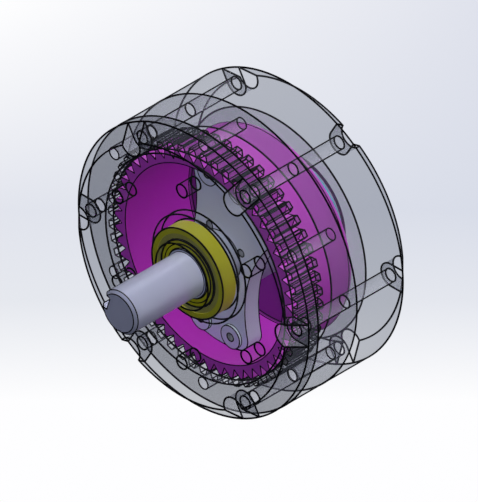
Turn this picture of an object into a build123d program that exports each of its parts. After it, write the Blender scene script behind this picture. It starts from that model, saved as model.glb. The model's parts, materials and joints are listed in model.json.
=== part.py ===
from build123d import *
from math import cos, radians, sin
import os

# Strain wave gear. The gear axis is Y, the input shaft points to -Y and the output faces +Y.
# The origin is on the axis, in the plane of the front bolt seats. Angles run from +X towards +Z. Sizes are in mm.

# Housing
housing_r = 60.0
rim_chamfer = 6.2
cover_rim = 4.9
cover_plate = 7.05
boss_wall = 3.6
lip_depth = 2.95
lip_width = 4.9
ring_width = 20.1
ring_wall = 13.25
rear_length = 30.2
cavity_back_wall = 12.3
cut_slack = 1.0

# Holes in the housing
bolt_rim = 6.4
bolt_count = 6
bolt_hole_r = 2.65
bolt_seat_r = 4.95
ring_hole_r = 2.45
motor_hole_rim = 21.3
motor_hole_r = 2.725

# Circular spline teeth
spline_gaps = 52
gap_depth = 2.65
gap_mouth_half = 2.0
gap_root_half = 1.3
spline_tooth_length = 13.0

# Flexspline
flex_teeth = 50
flex_tip_clearance = 0.3
flex_tooth_height = 3.75
flex_valley_step = 0.1
flex_tip_half = 0.62
flex_tooth_length = 13.0
flex_wall = 1.6
flex_floor = 1.8
flex_mouth_gap = 0.4
flex_outer_fillet = 2.6
flex_inner_fillet = 0.8
flex_centre_gap = 2.0

# Input shaft
shaft_r = 9.0
shaft_front = 39.2
shaft_step = 1.0
shaft_step_gap = 0.4
shaft_end_chamfer = 1.2
key_width = 6.0
key_depth = 3.5
key_length = 18.0
key_angle = 163.0
hub_rim = 1.85
hub_length = 11.8
neck_step = 2.0
journal_end_gap = 0.2

# Wave generator
plate_gap = 10.25
plate_thickness = 7.1
plate_angle = 73.75
lobe_gap = 1.6
lobe_corner = 5.5
waist_r = 54.4
waist_half = 15.3
plate_bore_chamfer = 0.4
dowel_wall = 0.45
dowel_angle = 28.9
dowel_count = 4
dowel_r = 1.6
dowel_length = 10.0
dowel_recess = 2.8
pin_spread = 26.5
pin_r = 3.0
pin_bore_r = 1.73
pin_head_step = 1.8
pin_head = 1.2
roller_r = 6.5
roller_width = 5.0
roller_cup_gap = 0.2
roller_side_play = 0.05
roller_running = 0.05
roller_pocket_gap = 0.5
roller_chamfer = 0.4

# Bearings
front_bearing_section = 8.5
front_bearing_width = 7.1
front_ball_height = 5.05
front_ball_r = 1.8
front_balls = 10
front_step_height = 1.9
rear_bearing_bore_r = 22.5
rear_bearing_section = 6.5
rear_bearing_width = 7.0
rear_ball_r = 1.8
rear_balls = 14
pilot_bore_r = 5.0
pilot_section = 6.0
pilot_width = 6.0
pilot_ball_r = 1.5
pilot_balls = 7
land_depth = 0.65
raceway_play = 0.08
cage_gap = 0.35
cage_ball_gap = 0.12
cage_side = 0.5
shield_thickness = 0.5
shield_inset = 0.4
shield_gap = 0.3
ring_chamfer = 0.3

# Retaining ring on the shaft
circlip_width = 1.1
circlip_groove = 0.5
circlip_height = 2.4
circlip_gap_half = 2.0

# Output hub and cup clamp
output_gap = 1.0
hub_shoulder = 1.9
hub_flange = 2.0
output_proud = 1.0
output_chamfer = 1.0
output_hole_rim = 6.5
output_hole_r = 1.65
output_hole_depth = 8.0
output_hole_count = 6
output_recess_r = 8.0
output_recess_depth = 4.0
clamp_rim = 0.35
clamp_thickness = 2.5
screw_wall = 1.4
screw_count = 6
screw_r = 1.5
screw_clearance = 0.1
screw_length = 10.0
screw_head_r = 2.75
screw_head = 2.0
screw_socket = 2.5
screw_socket_depth = 1.2

# Radii of the shaft and the front bearing, which the cover is made around
seat_r = shaft_r + shaft_step
front_bearing_r = seat_r + front_bearing_section
front_ball_circle_r = seat_r + front_ball_height
front_inner_land_r = front_ball_circle_r - front_ball_r + land_depth
front_outer_land_r = front_ball_circle_r + front_ball_r - land_depth
cover_boss_r = front_bearing_r + boss_wall
lip_opening_r = front_bearing_r - lip_width
dowel_circle_r = seat_r + dowel_r + dowel_wall
hub_r = dowel_circle_r + dowel_r + hub_rim

# Radii of the housing, and inwards from it through the cup to the generator
bolt_circle_r = housing_r - bolt_rim
motor_hole_circle_r = housing_r - motor_hole_rim
cavity_r = housing_r - ring_wall
flex_tip_r = cavity_r - flex_tip_clearance
flex_valley_r = flex_tip_r - flex_tooth_height
flex_outer_r = flex_valley_r - flex_valley_step
flex_bore_r = flex_outer_r - flex_wall
lobe_r = flex_bore_r - lobe_gap
pin_circle_r = flex_bore_r - roller_cup_gap - roller_r
pin_head_r = pin_r + pin_head_step
waist_offset = waist_r + waist_half

# Radii of the output side
rear_bearing_r = rear_bearing_bore_r + rear_bearing_section
rear_ball_circle_r = rear_bearing_bore_r + rear_bearing_section / 2
output_opening_r = rear_bearing_bore_r + output_gap
hub_flange_r = rear_bearing_bore_r + hub_shoulder
output_hole_circle_r = rear_bearing_bore_r - output_hole_rim
pilot_r = pilot_bore_r + pilot_section
pilot_ball_circle_r = pilot_bore_r + pilot_section / 2
neck_r = pilot_bore_r + neck_step
flex_centre_r = neck_r + flex_centre_gap
screw_circle_r = pilot_r + screw_r + screw_wall
clamp_r = screw_circle_r + screw_head_r + clamp_rim

# Places along the axis
cover_front = -rim_chamfer
cover_inside = cover_front + cover_plate
cover_joint = cover_rim
ring_joint = cover_joint + ring_width
back_face = ring_joint + rear_length
back_seat = back_face - rim_chamfer
cavity_floor = back_face - cavity_back_wall
bearing_front = cover_front + lip_depth
bearing_back = bearing_front + front_bearing_width
rear_bearing_back = cavity_floor + rear_bearing_width
flex_mouth = cover_joint + flex_mouth_gap
flex_back = cavity_floor - hub_flange
flex_inside = flex_back - flex_floor
plate_front = bearing_back + plate_gap
plate_back = plate_front + plate_thickness
hub_back = plate_back + hub_length
pocket_front = plate_front + plate_thickness / 2 - roller_width / 2 - roller_side_play
pocket_back = plate_front + plate_thickness / 2 + roller_width / 2 + roller_side_play
pilot_front = flex_back
pilot_back = pilot_front + pilot_width
output_face = back_face + output_proud
clamp_front = flex_inside - clamp_thickness
groove_front = bearing_back
groove_back = groove_front + circlip_width


def disc(radius, start, end):
    """Solid cylinder on the gear axis from start to end."""
    face = Plane.XZ.offset(-start) * Circle(radius)
    return extrude(face, amount=start - end)


def tube(outer_r, inner_r, start, end):
    """Ring on the gear axis."""
    return disc(outer_r, start, end) - disc(inner_r, start, end)


def turned(points):
    """Solid of revolution about the gear axis from (radius, y) points."""
    outline = make_face(Polyline(*points, close=True))
    return revolve(outline, axis=Axis.Y)


def around(shape, radius, angle):
    """The shape moved out by radius and turned to angle about the gear axis."""
    return Rot(0, -angle, 0) * Pos(radius, 0, 0) * shape


def spaced(shape, radius, count, first_angle):
    """Evenly spaced copies of the shape on a circle."""
    return [around(shape, radius, first_angle + 360 / count * i) for i in range(count)]


def rim_edges(shape, radius, y):
    """Circular edges about the gear axis with this radius and place."""
    circles = shape.edges().filter_by(GeomType.CIRCLE)
    return circles.filter_by(lambda e: abs(e.radius - radius) < 1e-4 and abs(e.center().Y - y) < 1e-4)


def polar(radius, angle, side=0.0):
    """Point of a cross-section at this radius and angle, moved sideways."""
    a = radians(angle)
    return (radius * cos(a) - side * sin(a), radius * sin(a) + side * cos(a))


def prism(points, start, end):
    """Straight solid along the axis from a cross-section outline in X and Z."""
    outline = Plane.XZ.offset(-start) * make_face(Polyline(*points, close=True))
    return extrude(outline, amount=start - end)


def bolt_seat(start, end):
    """Round seat for a bolt head that opens outwards through the rim."""
    reach = housing_r - bolt_circle_r + rim_chamfer
    round_end = disc(bolt_seat_r, start, end)
    way_out = Pos(reach / 2, (start + end) / 2, 0) * Box(reach, end - start, 2 * bolt_seat_r)
    return round_end + way_out


def bolt_holes(start, end, first_angle=0.0, radius=bolt_hole_r):
    return spaced(disc(radius, start, end), bolt_circle_r, bolt_count, first_angle)


def front_cover():
    chamfer_r = housing_r - rim_chamfer
    body = turned([
        (lip_opening_r, cover_front), (chamfer_r, cover_front), (housing_r, 0), (housing_r, cover_joint),
        (cavity_r, cover_joint), (cavity_r, cover_inside), (cover_boss_r, cover_inside),
        (cover_boss_r, cover_joint), (front_bearing_r, cover_joint), (front_bearing_r, bearing_front),
        (lip_opening_r, bearing_front),
    ])
    seats = spaced(bolt_seat(cover_front - cut_slack, 0), bolt_circle_r, bolt_count, 0)
    motor_holes = spaced(
        disc(motor_hole_r, cover_front, cover_inside), motor_hole_circle_r, bolt_count, 180 / bolt_count
    )
    return body - seats - bolt_holes(0, cover_joint) - motor_holes


def circular_spline():
    """Ring with the inward teeth: each gap is a blind notch cut outwards from the bore."""
    body = tube(housing_r, cavity_r, cover_joint, ring_joint)
    slope = (gap_mouth_half - gap_root_half) / gap_depth
    inside_r = cavity_r - flex_tip_clearance / 2
    inside_half = gap_mouth_half + slope * (cavity_r - inside_r)
    points = []
    for i in range(spline_gaps):
        angle = 360 / spline_gaps * i
        points.append(polar(inside_r, angle, -inside_half))
        points.append(polar(cavity_r + gap_depth, angle, -gap_root_half))
        points.append(polar(cavity_r + gap_depth, angle, gap_root_half))
        points.append(polar(inside_r, angle, inside_half))
    gaps = prism(points, cover_joint, cover_joint + spline_tooth_length)
    half_step = 180 / bolt_count
    return (
        body - gaps - bolt_holes(cover_joint, ring_joint)
        - bolt_holes(cover_joint, ring_joint, half_step, ring_hole_r)
    )


def rear_housing():
    chamfer_r = housing_r - rim_chamfer
    body = turned([
        (cavity_r, ring_joint), (housing_r, ring_joint), (housing_r, back_seat), (chamfer_r, back_face),
        (output_opening_r, back_face), (output_opening_r, rear_bearing_back),
        (rear_bearing_r, rear_bearing_back), (rear_bearing_r, cavity_floor), (cavity_r, cavity_floor),
    ])
    seats = spaced(bolt_seat(back_seat, back_face + cut_slack), bolt_circle_r, bolt_count, 0)
    return body - seats - bolt_holes(ring_joint, back_seat)


def flexspline():
    """Thin cup with outward teeth at its mouth and a floor that is clamped to the output hub."""
    cup = disc(flex_outer_r, flex_mouth, flex_back) - disc(flex_bore_r, flex_mouth, flex_inside)
    cup = fillet(rim_edges(cup, flex_outer_r, flex_back), flex_outer_fillet)
    cup = fillet(rim_edges(cup, flex_bore_r, flex_inside), flex_inner_fillet)
    points = []
    for i in range(flex_teeth):
        angle = 360 / flex_teeth * i
        points.append(polar(flex_tip_r, angle, -flex_tip_half))
        points.append(polar(flex_tip_r, angle, flex_tip_half))
        points.append(polar(flex_valley_r, angle + 180 / flex_teeth))
    middle_r = flex_bore_r + flex_wall / 2
    band = prism(points, flex_mouth, flex_mouth + flex_tooth_length)
    teeth = band - disc(middle_r, flex_mouth, flex_mouth + flex_tooth_length)
    screw_hole = disc(screw_r + screw_clearance, flex_inside, flex_back)
    holes = spaced(screw_hole, screw_circle_r, screw_count, 0)
    return cup + teeth - disc(flex_centre_r, flex_inside, flex_back) - holes


def input_shaft():
    step = bearing_front - shaft_step_gap
    journal_end = pilot_back - journal_end_gap
    body = turned([
        (0, -shaft_front), (shaft_r - shaft_end_chamfer, -shaft_front),
        (shaft_r, -shaft_front + shaft_end_chamfer), (shaft_r, step), (seat_r, step),
        (seat_r, groove_front), (seat_r - circlip_groove, groove_front),
        (seat_r - circlip_groove, groove_back), (seat_r, groove_back), (seat_r, plate_back),
        (hub_r, plate_back), (hub_r, hub_back), (neck_r, hub_back), (neck_r, pilot_front),
        (pilot_bore_r, pilot_front), (pilot_bore_r, journal_end), (0, journal_end),
    ])
    keyway = Pos(shaft_r, key_length / 2 - shaft_front, 0) * Box(2 * key_depth, key_length, key_width)
    dowel_hole = disc(dowel_r, plate_back, plate_front + dowel_recess + dowel_length)
    dowel_holes = spaced(dowel_hole, dowel_circle_r, dowel_count, dowel_angle)
    return body - around(keyway, 0, key_angle) - dowel_holes


def pin_angles():
    """Angles of the six roller pins, three on each lobe."""
    return [plate_angle + side + spread for side in (0, 180) for spread in (-pin_spread, 0, pin_spread)]


def generator_plate():
    """Bow-tie plate: two lobes on the gear axis with hollow waists, and a pocket for each roller."""
    lobes = disc(lobe_r, plate_front, plate_back)
    waist = disc(waist_r, plate_front, plate_back)
    blank = lobes - Pos(0, 0, waist_offset) * waist - Pos(0, 0, -waist_offset) * waist
    corners = blank.edges().filter_by(Axis.Y)
    blank = around(fillet(corners, lobe_corner), 0, plate_angle)
    blank -= disc(seat_r, plate_front, plate_back)
    blank = chamfer(rim_edges(blank, seat_r, plate_front), plate_bore_chamfer)
    dowel_hole = disc(dowel_r, plate_front, plate_back)
    pin_hole = disc(pin_r, plate_front, plate_back)
    pocket = disc(roller_r + roller_pocket_gap, pocket_front, pocket_back)
    blank -= spaced(dowel_hole, dowel_circle_r, dowel_count, dowel_angle)
    return blank - [around(pocket + pin_hole, pin_circle_r, angle) for angle in pin_angles()]


def generator_dowels():
    start = plate_front + dowel_recess
    return spaced(disc(dowel_r, start, start + dowel_length), dowel_circle_r, dowel_count, dowel_angle)


def roller_pins():
    head = disc(pin_head_r, plate_front - pin_head, plate_front)
    pin = head + disc(pin_r, plate_front, plate_back) - disc(pin_bore_r, plate_front - pin_head, plate_back)
    return [around(pin, pin_circle_r, angle) for angle in pin_angles()]


def generator_roller(angle):
    start = pocket_front + roller_side_play
    end = pocket_back - roller_side_play
    roller = tube(roller_r, pin_r + roller_running, start, end)
    rims = rim_edges(roller, roller_r, start) + rim_edges(roller, roller_r, end)
    return around(chamfer(rims, roller_chamfer), pin_circle_r, angle)


def raceway(circle_r, ball_r, y):
    """Round groove that the balls of a bearing run in."""
    section = Pos(circle_r, y) * Circle(ball_r + raceway_play)
    return revolve(section, axis=Axis.Y)


def bearing_ring(outer_r, inner_r, start, end, circle_r, ball_r):
    """Bearing ring with its raceway and with its seat's corners broken."""
    ring = tube(outer_r, inner_r, start, end) - raceway(circle_r, ball_r, (start + end) / 2)
    seat = outer_r if outer_r > circle_r else inner_r
    return chamfer(rim_edges(ring, seat, start) + rim_edges(ring, seat, end), ring_chamfer)


def cage(circle_r, ball_r, count, y):
    """Ring between the two bearing rings with a pocket for each ball."""
    half = ball_r + cage_ball_gap + cage_side
    reach = ball_r - land_depth - cage_gap
    ring = tube(circle_r + reach, circle_r - reach, y - half, y + half)
    pocket = Pos(0, y, 0) * Rot(0, 90, 0) * Cylinder(ball_r + cage_ball_gap, 4 * reach)
    return ring - spaced(pocket, circle_r, count, 0)


def balls(circle_r, ball_r, count, y):
    return spaced(Pos(0, y, 0) * Sphere(ball_r), circle_r, count, 0)


def shields(outer_r, inner_r, start, end):
    """Pair of thin washers set into the faces of a bearing's outer ring."""
    front = tube(outer_r, inner_r + shield_gap, start + shield_inset, start + shield_inset + shield_thickness)
    back = tube(outer_r, inner_r + shield_gap, end - shield_inset - shield_thickness, end - shield_inset)
    return [front, back]


def front_bearing_inner_ring():
    ring = bearing_ring(
        front_inner_land_r, seat_r, bearing_front, bearing_back, front_ball_circle_r, front_ball_r
    )
    recess = tube(front_inner_land_r, seat_r + front_step_height, bearing_front, bearing_front + shield_inset)
    return ring - recess


def shaft_circlip():
    """Open retaining ring in the shaft's groove, behind the front bearing."""
    inner_r = seat_r - circlip_groove
    ring = tube(inner_r + circlip_height, inner_r, groove_front, groove_back)
    gap = Pos(inner_r + circlip_height, (groove_front + groove_back) / 2, 0) * Box(
        2 * circlip_height + circlip_groove, circlip_width, 2 * circlip_gap_half
    )
    return ring - around(gap, 0, key_angle)


def output_hub():
    """Hub that carries the cup, turns in the rear bearing and takes the driven part's screws."""
    body = turned([
        (0, pilot_back), (pilot_r, pilot_back), (pilot_r, pilot_front), (hub_flange_r, pilot_front),
        (hub_flange_r, cavity_floor), (rear_bearing_bore_r, cavity_floor),
        (rear_bearing_bore_r, output_face - output_chamfer),
        (rear_bearing_bore_r - output_chamfer, output_face), (output_recess_r, output_face),
        (output_recess_r, output_face - output_recess_depth), (0, output_face - output_recess_depth),
    ])
    screw_end = clamp_front + screw_length
    screw_holes = spaced(disc(screw_r, pilot_front, screw_end), screw_circle_r, screw_count, 0)
    output_hole = disc(output_hole_r, output_face - output_hole_depth, output_face)
    half_step = 180 / output_hole_count
    return body - screw_holes - spaced(output_hole, output_hole_circle_r, output_hole_count, half_step)


def clamp_ring():
    ring = tube(clamp_r, flex_centre_r, clamp_front, flex_inside)
    screw_hole = disc(screw_r + screw_clearance, clamp_front, flex_inside)
    return ring - spaced(screw_hole, screw_circle_r, screw_count, 0)


def clamp_screws():
    """Socket-head screws through the clamp ring and the cup's floor into the hub."""
    socket = Plane.XZ.offset(screw_head - clamp_front) * RegularPolygon(screw_socket / 2, 6, major_radius=False)
    head = disc(screw_head_r, clamp_front - screw_head, clamp_front)
    screw = head - extrude(socket, amount=-screw_socket_depth) + disc(
        screw_r, clamp_front, clamp_front + screw_length
    )
    return spaced(screw, screw_circle_r, screw_count, 0)


def front_bearing():
    middle = (bearing_front + bearing_back) / 2
    return {
        "front_bearing_outer_ring": bearing_ring(
            front_bearing_r, front_outer_land_r, bearing_front, bearing_back, front_ball_circle_r, front_ball_r
        ),
        "front_bearing_shields": shields(front_outer_land_r, front_inner_land_r, bearing_front, bearing_back),
        "front_bearing_inner_ring": front_bearing_inner_ring(),
        "front_bearing_cage": cage(front_ball_circle_r, front_ball_r, front_balls, middle),
        "front_bearing_balls": balls(front_ball_circle_r, front_ball_r, front_balls, middle),
    }


def rear_bearing():
    start, end = cavity_floor, rear_bearing_back
    middle = (start + end) / 2
    inner_land_r = rear_ball_circle_r - rear_ball_r + land_depth
    outer_land_r = rear_ball_circle_r + rear_ball_r - land_depth
    return {
        "rear_bearing_outer_ring": bearing_ring(
            rear_bearing_r, outer_land_r, start, end, rear_ball_circle_r, rear_ball_r
        ),
        "rear_bearing_shields": shields(outer_land_r, inner_land_r, start, end),
        "rear_bearing_inner_ring": bearing_ring(
            inner_land_r, rear_bearing_bore_r, start, end, rear_ball_circle_r, rear_ball_r
        ),
        "rear_bearing_cage": cage(rear_ball_circle_r, rear_ball_r, rear_balls, middle),
        "rear_bearing_balls": balls(rear_ball_circle_r, rear_ball_r, rear_balls, middle),
    }


def pilot_bearing():
    middle = (pilot_front + pilot_back) / 2
    inner_land_r = pilot_ball_circle_r - pilot_ball_r + land_depth
    outer_land_r = pilot_ball_circle_r + pilot_ball_r - land_depth
    return {
        "pilot_bearing_outer_ring": bearing_ring(
            pilot_r, outer_land_r, pilot_front, pilot_back, pilot_ball_circle_r, pilot_ball_r
        ),
        "pilot_bearing_inner_ring": bearing_ring(
            inner_land_r, pilot_bore_r, pilot_front, pilot_back, pilot_ball_circle_r, pilot_ball_r
        ),
        "pilot_bearing_cage": cage(pilot_ball_circle_r, pilot_ball_r, pilot_balls, middle),
        "pilot_bearing_balls": balls(pilot_ball_circle_r, pilot_ball_r, pilot_balls, middle),
    }


def assembly():
    nodes = {
        "front_cover": front_cover(),
        "circular_spline": circular_spline(),
        "rear_housing": rear_housing(),
        "flexspline": flexspline(),
        "input_shaft": input_shaft(),
        "generator_plate": generator_plate(),
        "generator_dowels": generator_dowels(),
        "roller_pins": roller_pins(),
        "shaft_circlip": shaft_circlip(),
        "output_hub": output_hub(),
        "clamp_ring": clamp_ring(),
        "clamp_screws": clamp_screws(),
    }
    for i, angle in enumerate(pin_angles()):
        nodes[f"generator_roller_{i + 1}"] = generator_roller(angle)
    return nodes | front_bearing() | rear_bearing() | pilot_bearing()


os.makedirs("parts", exist_ok=True)
for name, shape in assembly().items():
    solids = shape if isinstance(shape, list) else [shape]
    pieces = [solid for item in solids for solid in item.solids()]
    export_step(pieces[0] if len(pieces) == 1 else Compound(children=pieces), f"parts/{name}.step")
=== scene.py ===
# %% [markdown]
# A strain wave gear
#
# The CAD model comes in first as a fixed frame: every piece at its real size and place. The pieces made here
# are grouped into the bodies that turn, and Blender gives each piece its finish and never moves it. Keeping
# the two apart means that the gear still turns as the engineer meant while we only think about light, colour
# and edges.

# %% Load the frame
import json
from math import acos, asin, cos, pi, radians, sin

import bmesh
import bpy
from mathutils import Matrix, Vector


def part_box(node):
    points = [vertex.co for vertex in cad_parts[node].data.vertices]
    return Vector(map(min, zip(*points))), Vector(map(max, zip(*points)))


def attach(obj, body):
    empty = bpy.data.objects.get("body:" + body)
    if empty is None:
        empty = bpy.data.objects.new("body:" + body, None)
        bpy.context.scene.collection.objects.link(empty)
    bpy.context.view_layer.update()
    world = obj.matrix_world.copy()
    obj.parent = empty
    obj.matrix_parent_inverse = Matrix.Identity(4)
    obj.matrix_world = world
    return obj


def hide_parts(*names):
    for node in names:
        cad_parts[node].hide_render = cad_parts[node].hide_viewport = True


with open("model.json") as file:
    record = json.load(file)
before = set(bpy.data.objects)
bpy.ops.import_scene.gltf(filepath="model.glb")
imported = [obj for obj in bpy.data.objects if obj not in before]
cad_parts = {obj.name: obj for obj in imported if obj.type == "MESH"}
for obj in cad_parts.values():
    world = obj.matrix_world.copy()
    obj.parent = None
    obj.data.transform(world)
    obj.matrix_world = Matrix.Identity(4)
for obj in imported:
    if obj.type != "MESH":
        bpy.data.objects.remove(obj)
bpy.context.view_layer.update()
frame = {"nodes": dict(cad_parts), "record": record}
record = frame["record"]
MM = 0.001

# %% [markdown]
# The gear axis is Y. Places along it are read from the frame, so that a change in the CAD model carries over.
# Radii of holes come from the record's mounts, which is where an engineer would look them up too.

# %% Places and sizes
def along(node):
    """Where a CAD piece starts and ends on the gear axis."""
    low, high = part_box(node)
    return low[1], high[1]


mounts = {m["name"]: m for m in record["mounts"]}
housing_bolts = mounts["housing_bolts"]["dims"]
motor_bolts = mounts["motor_bolts"]["dims"]
bolt_circle_r = housing_bolts["pcd_mm"] / 2 * MM
bolt_hole_r = housing_bolts["hole_r_mm"] * MM
bolt_count = housing_bolts["count"]
motor_circle_r = motor_bolts["pcd_mm"] / 2 * MM
motor_hole_r = motor_bolts["hole_r_mm"] * MM
shaft_r = mounts["input_shaft"]["dims"]["r_mm"] * MM

cover_front, cover_joint = along("front_cover")
ring_joint, back_face = along("rear_housing")
flex_mouth, flex_back = along("flexspline")
plate_front, plate_back = along("generator_plate")
bearing_front, bearing_back = along("front_bearing_outer_ring")
cavity_floor, rear_bearing_back = along("rear_bearing_outer_ring")
rim_chamfer = -cover_front
back_seat = back_face - rim_chamfer
housing_r = 60.0 * MM
cavity_r = 46.75 * MM
print("housing from", round(cover_front / MM, 2), "to", round(back_face / MM, 2), "mm along the axis")

# %% [markdown]
# The reference view is a parallel one, from the front, the right and above by equal amounts, so all three
# axes look equally long. An orthographic camera gives exactly that: its scale is the height of the picture in
# metres, and a small shift of its target along its own right and up directions frames the gear.

# %% Camera
view_height = 185.0 * MM
target_right = 16.66 * MM
target_up = 6.97 * MM
camera_distance = 0.6

toward_camera = Vector((1, -1, 1)).normalized()
right = Vector((1, 1, 0)).normalized()
up = toward_camera.cross(right)
target = right * target_right + up * target_up

camera_data = bpy.data.cameras.new("camera")
camera_data.type = "ORTHO"
camera_data.ortho_scale = view_height
camera = bpy.data.objects.new("camera", camera_data)
camera.location = target + toward_camera * camera_distance
camera.rotation_euler = (-toward_camera).to_track_quat("-Z", "Y").to_euler()
bpy.context.scene.collection.objects.link(camera)
bpy.context.scene.camera = camera
print("camera looks along", [round(v, 3) for v in -toward_camera])

# %% [markdown]
# Almost every piece of a gear like this is turned on a lathe, so the main helper takes a profile of
# (radius, y) points and joins rings of vertices all the way round. A piece with teeth is the same idea with
# rings that are not round: each ring is a list of points, and neighbouring rings are joined by quads. The
# mesh is closed and has even rounds, which is what keeps the edges of the clear housing clean.

# %% Turned and ringed meshes
ROUND_STEPS = 144


def link(name, mesh):
    """A new object at the origin that shows this mesh."""
    obj = bpy.data.objects.new(name, mesh)
    bpy.context.scene.collection.objects.link(obj)
    return obj


def closed_shape(name, bm):
    """A new object from a closed BMesh, with its faces turned outwards."""
    bmesh.ops.recalc_face_normals(bm, faces=bm.faces)
    mesh = bpy.data.meshes.new(name)
    bm.to_mesh(mesh)
    bm.free()
    return link(name, mesh)


def joined_rings(name, rings, closed=True):
    """Object from rings of (x, y, z) points, each joined to the next, and the last to the first if closed."""
    bm = bmesh.new()
    loops = [[bm.verts.new(point) for point in ring] for ring in rings]
    pairs = list(zip(loops, loops[1:]))
    if closed:
        pairs.append((loops[-1], loops[0]))
    for here, there in pairs:
        for i in range(max(len(here), len(there))):
            j = i + 1
            quad = [here[i % len(here)], here[j % len(here)], there[j % len(there)], there[i % len(there)]]
            bm.faces.new(list(dict.fromkeys(quad)))
    return closed_shape(name, bm)


def circle(radius, y, steps=ROUND_STEPS):
    """Points of a circle about the gear axis, or its centre if the radius is nothing."""
    if radius == 0:
        return [(0, y, 0)]
    return [(radius * cos(2 * pi * i / steps), y, radius * sin(2 * pi * i / steps)) for i in range(steps)]


def turned(name, profile, closed=True, steps=ROUND_STEPS):
    """Object of revolution about the gear axis from (radius, y) points."""
    return joined_rings(name, [circle(radius, y, steps) for radius, y in profile], closed)


def arc(centre, radius, start, end, steps):
    """Points of an arc in its own plane, with angles in radians."""
    angles = [start + (end - start) * i / steps for i in range(steps + 1)]
    return [(centre[0] + radius * cos(a), centre[1] + radius * sin(a)) for a in angles]


# %% [markdown]
# Holes, bolt seats and pockets are all straight cuts along the axis, so one helper makes the cutting tools as
# prisms and another takes them away with an exact boolean. The result is stored as a plain mesh straight
# away, because a finished piece should carry no modifiers that later steps would have to know about.

# %% Straight cuts
def prisms(name, outlines, start, end):
    """Object with one closed prism along the axis for each outline of (x, z) points."""
    bm = bmesh.new()
    for outline in outlines:
        low = [bm.verts.new((x, start, z)) for x, z in outline]
        high = [bm.verts.new((x, end, z)) for x, z in outline]
        bm.faces.new(low)
        bm.faces.new(high[::-1])
        for i in range(len(outline)):
            j = (i + 1) % len(outline)
            bm.faces.new((low[i], high[i], high[j], low[j]))
    return closed_shape(name, bm)


def plain_mesh(obj):
    """The object's shape with its modifiers worked in, and the modifiers gone."""
    depsgraph = bpy.context.evaluated_depsgraph_get()
    mesh = bpy.data.meshes.new_from_object(obj.evaluated_get(depsgraph))
    obj.modifiers.clear()
    obj.data = mesh
    return obj


def cut(obj, tool):
    """Takes the tool away from the object and removes the tool."""
    step = obj.modifiers.new("step", "BOOLEAN")
    step.solver = "EXACT"
    step.operation = "DIFFERENCE"
    step.object = tool
    plain_mesh(obj)
    bpy.data.objects.remove(tool)


def placed(outline, radius, angle):
    """An (x, z) outline moved out by radius and turned to an angle in degrees."""
    a = radians(angle)
    return [((x + radius) * cos(a) - z * sin(a), (x + radius) * sin(a) + z * cos(a)) for x, z in outline]


def polar(radius, angle):
    """(x, z) of a point this far out at an angle in degrees."""
    return radius * cos(radians(angle)), radius * sin(radians(angle))


def round_outline(radius, steps=40):
    return [polar(radius, 360 * i / steps) for i in range(steps)]


def hole_outlines(hole_r, circle_r, count, first=0.0):
    """Outlines of evenly spaced round holes on a circle."""
    return [placed(round_outline(hole_r), circle_r, first + 360 / count * i) for i in range(count)]


def bolt_seat_outlines():
    """Round seats for the bolt heads that open outwards through the rim."""
    head_seat_r = 4.95 * MM
    reach = housing_r - bolt_circle_r + rim_chamfer
    outline = [polar(head_seat_r, angle) for angle in range(90, 271, 9)]
    outline += [(reach, -head_seat_r), (reach, head_seat_r)]
    return [placed(outline, bolt_circle_r, 360 / bolt_count * i) for i in range(bolt_count)]


slack = 1.0 * MM
half_step = 180 / bolt_count
print("helpers ready; bolt holes every", 360 / bolt_count, "degrees")

# %% [markdown]
# The clear housing
#
# The housing is three clear pieces clamped by bolts that pass right through: a front cover, the ring with the
# inward teeth, and the rear housing. Each is turned, then drilled. The cover carries a boss for the front
# bearing and six plain holes for a motor.

# %% Front cover
lip_r = 13.6 * MM
boss_r = 22.1 * MM
bearing_r = 18.5 * MM
cover_inside = 0.85 * MM

cover = turned("clear_front_cover", [
    (lip_r, cover_front), (cavity_r, cover_front), (housing_r - rim_chamfer, cover_front), (housing_r, 0),
    (housing_r, cover_joint),
    (cavity_r, cover_joint), (cavity_r, cover_inside), (boss_r, cover_inside), (boss_r, cover_joint),
    (bearing_r, cover_joint), (bearing_r, bearing_front), (lip_r, bearing_front),
])
cut(cover, prisms("seats", bolt_seat_outlines(), cover_front - slack, 0))
bolt_holes = hole_outlines(bolt_hole_r, bolt_circle_r, bolt_count)
cut(cover, prisms("bolts", bolt_holes, -slack, cover_joint + slack))
cut(cover, prisms(
    "motor", hole_outlines(motor_hole_r, motor_circle_r, motor_bolts["count"], half_step),
    cover_front - slack, cover_inside + slack,
))
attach(cover, "housing")
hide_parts("front_cover")
print("front cover faces:", len(cover.data.polygons))

# %% [markdown]
# The circular spline's gaps are notches cut outwards from a plain bore, and they stop part of the way in. Its
# rings therefore share one set of angles: the notched outline for the toothed part, and a circle through the
# same angles everywhere else. A hair's breadth is left at both joints, and later round the bearings, so that
# two faces never lie in one plane, which a renderer can't sort.

# %% Circular spline
spline_gaps = 52
gap_depth = 2.65 * MM
gap_mouth_half = 2.0 * MM
gap_root_half = 1.3 * MM
tooth_length = 13.0 * MM
ring_hole_r = 2.45 * MM


def toothed_points(count, corners):
    """(radius, angle) points of a toothed outline from the corners of one tooth or gap."""
    return [(radius, angle + 2 * pi * i / count) for i in range(count) for radius, angle in corners]


def toothed_ring(points, y):
    return [(radius * cos(a), y, radius * sin(a)) for radius, a in points]


def round_ring(points, radius, y):
    """A circle through the angles of a toothed outline."""
    return [(radius * cos(a), y, radius * sin(a)) for _, a in points]


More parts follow.
